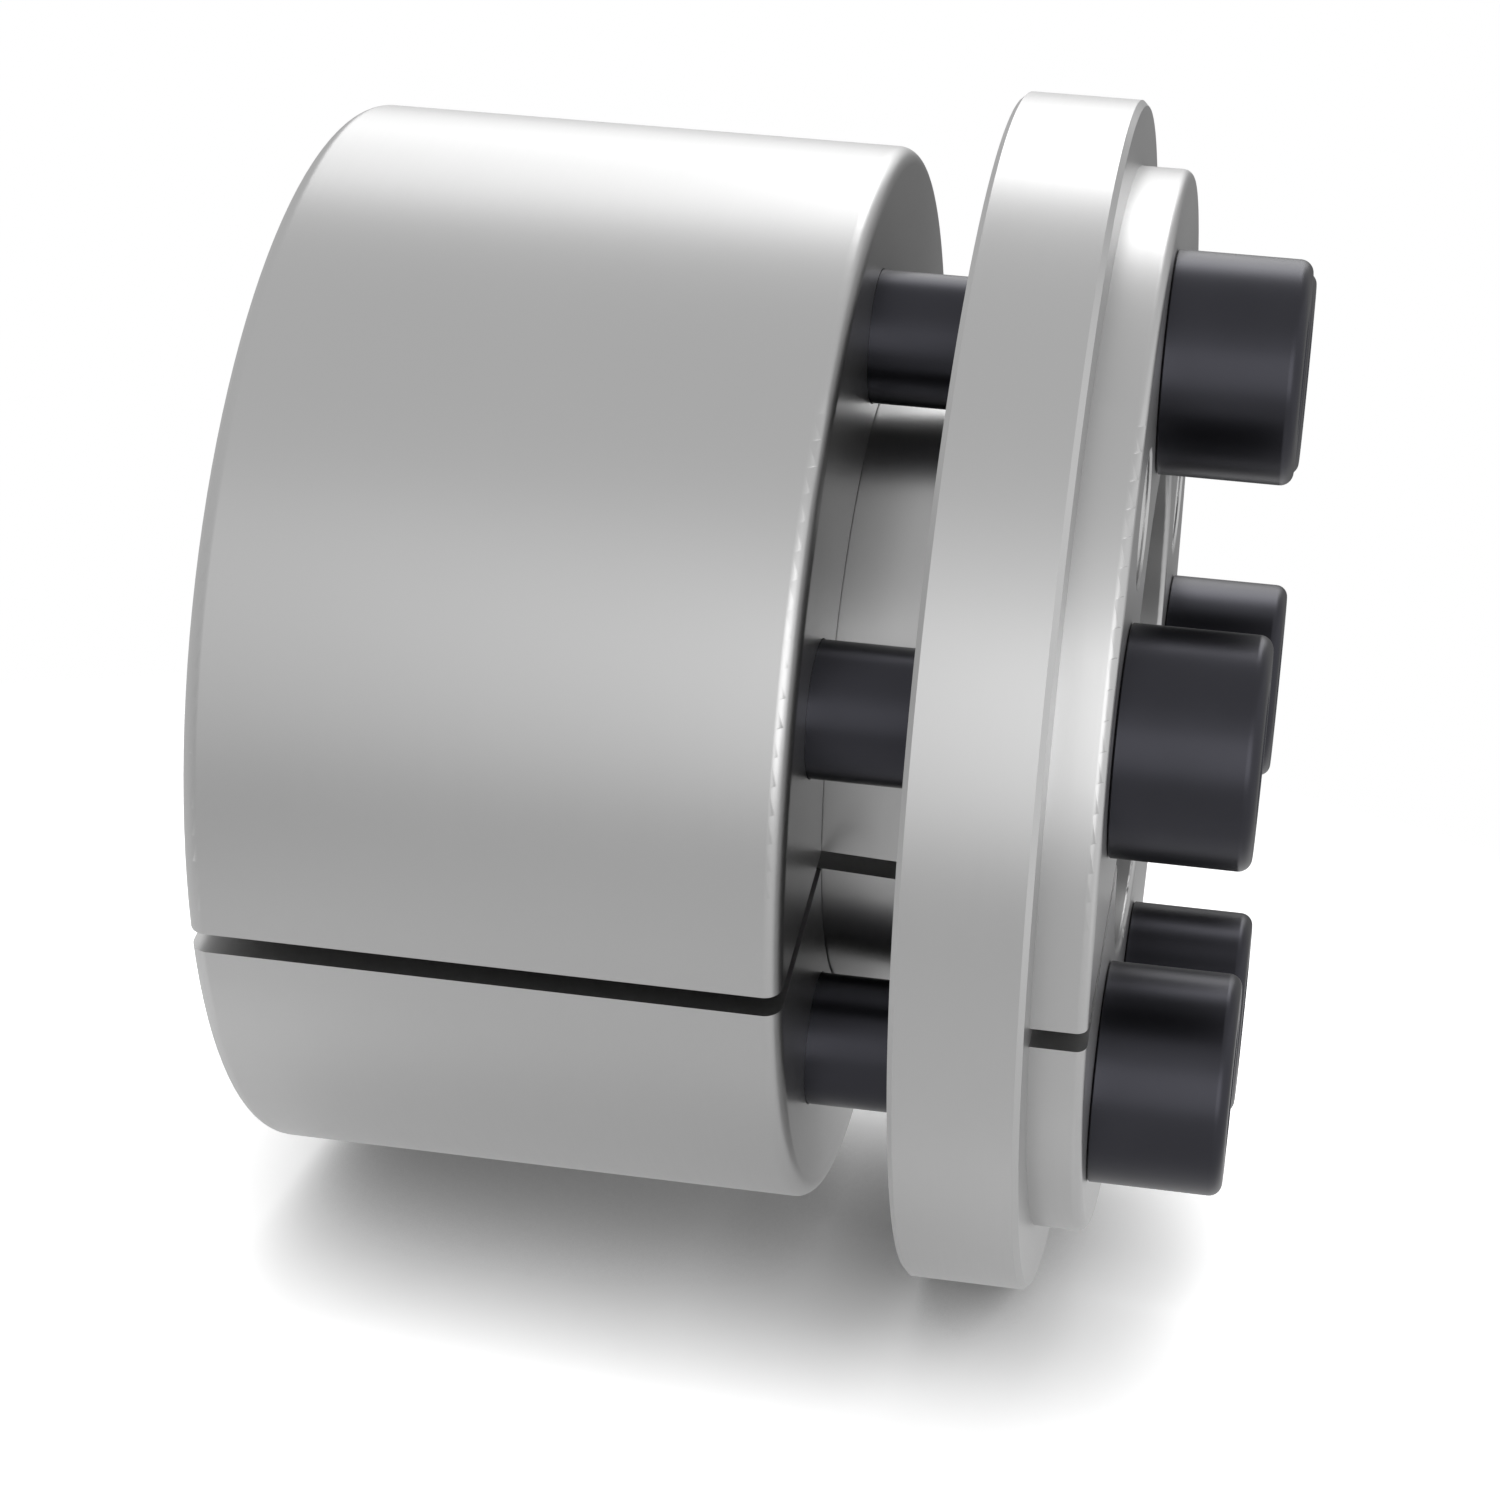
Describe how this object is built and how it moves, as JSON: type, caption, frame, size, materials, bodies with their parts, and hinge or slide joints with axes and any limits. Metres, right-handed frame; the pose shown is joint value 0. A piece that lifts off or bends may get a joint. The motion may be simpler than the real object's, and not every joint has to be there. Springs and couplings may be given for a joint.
{
  "type": "shaft locking assembly",
  "caption": "Keyless locking assembly: slit inner and outer rings with mating cones, a spacer collar and cap screws that wedge a shaft fast in a hub.",
  "frame": {"origin": "on the shaft axis at the free end of the rings, at the bottom centre of the bounding box", "axes": "+Z along the shaft axis from the free end to the screw heads; the slit of both rings lies at -Y; +X passes through cap_screw_1"},
  "size_m": [0.056, 0.056, 0.045],
  "materials": {
    "ring_steel": "satin turned",
    "collar_steel": "satin turned",
    "screw_steel": "black oxide, satin"
  },
  "bodies": {
    "shaft_side": {"inner_ring": "ring_steel", "spacer_collar": "collar_steel"},
    "hub_side": {"outer_ring": "ring_steel"},
    "screw_1": {"cap_screw_1": "screw_steel"},
    "screw_2": {"cap_screw_2": "screw_steel"},
    "screw_3": {"cap_screw_3": "screw_steel"},
    "screw_4": {"cap_screw_4": "screw_steel"},
    "screw_5": {"cap_screw_5": "screw_steel"},
    "screw_6": {"cap_screw_6": "screw_steel"}
  },
  "joints": [
    {"name": "screw_1_turn", "type": "hinge", "parent": "shaft_side", "child": "screw_1", "pos_m": [0.0185, 0, 0.039], "axis": [0, 0, 1], "range_deg": [-540, 0]},
    {"name": "screw_2_turn", "type": "hinge", "parent": "shaft_side", "child": "screw_2", "pos_m": [0.00925, 0.01602, 0.039], "axis": [0, 0, 1], "range_deg": [-540, 0]},
    {"name": "screw_3_turn", "type": "hinge", "parent": "shaft_side", "child": "screw_3", "pos_m": [-0.00925, 0.01602, 0.039], "axis": [0, 0, 1], "range_deg": [-540, 0]},
    {"name": "screw_4_turn", "type": "hinge", "parent": "shaft_side", "child": "screw_4", "pos_m": [-0.0185, 0, 0.039], "axis": [0, 0, 1], "range_deg": [-540, 0]},
    {"name": "screw_5_turn", "type": "hinge", "parent": "shaft_side", "child": "screw_5", "pos_m": [-0.00925, -0.01602, 0.039], "axis": [0, 0, 1], "range_deg": [-540, 0]},
    {"name": "screw_6_turn", "type": "hinge", "parent": "shaft_side", "child": "screw_6", "pos_m": [0.00925, -0.01602, 0.039], "axis": [0, 0, 1], "range_deg": [-540, 0]},
    {"name": "taper_draw", "type": "slide", "parent": "shaft_side", "child": "hub_side", "axis": [0, 0, 1], "range_m": [0, 0.0015]}
  ],
  "couplings": [
    {"joint": "screw_1_turn", "follows": "taper_draw", "rad_per_m": -6283.2},
    {"joint": "screw_2_turn", "follows": "taper_draw", "rad_per_m": -6283.2},
    {"joint": "screw_3_turn", "follows": "taper_draw", "rad_per_m": -6283.2},
    {"joint": "screw_4_turn", "follows": "taper_draw", "rad_per_m": -6283.2},
    {"joint": "screw_5_turn", "follows": "taper_draw", "rad_per_m": -6283.2},
    {"joint": "screw_6_turn", "follows": "taper_draw", "rad_per_m": -6283.2}
  ]
}
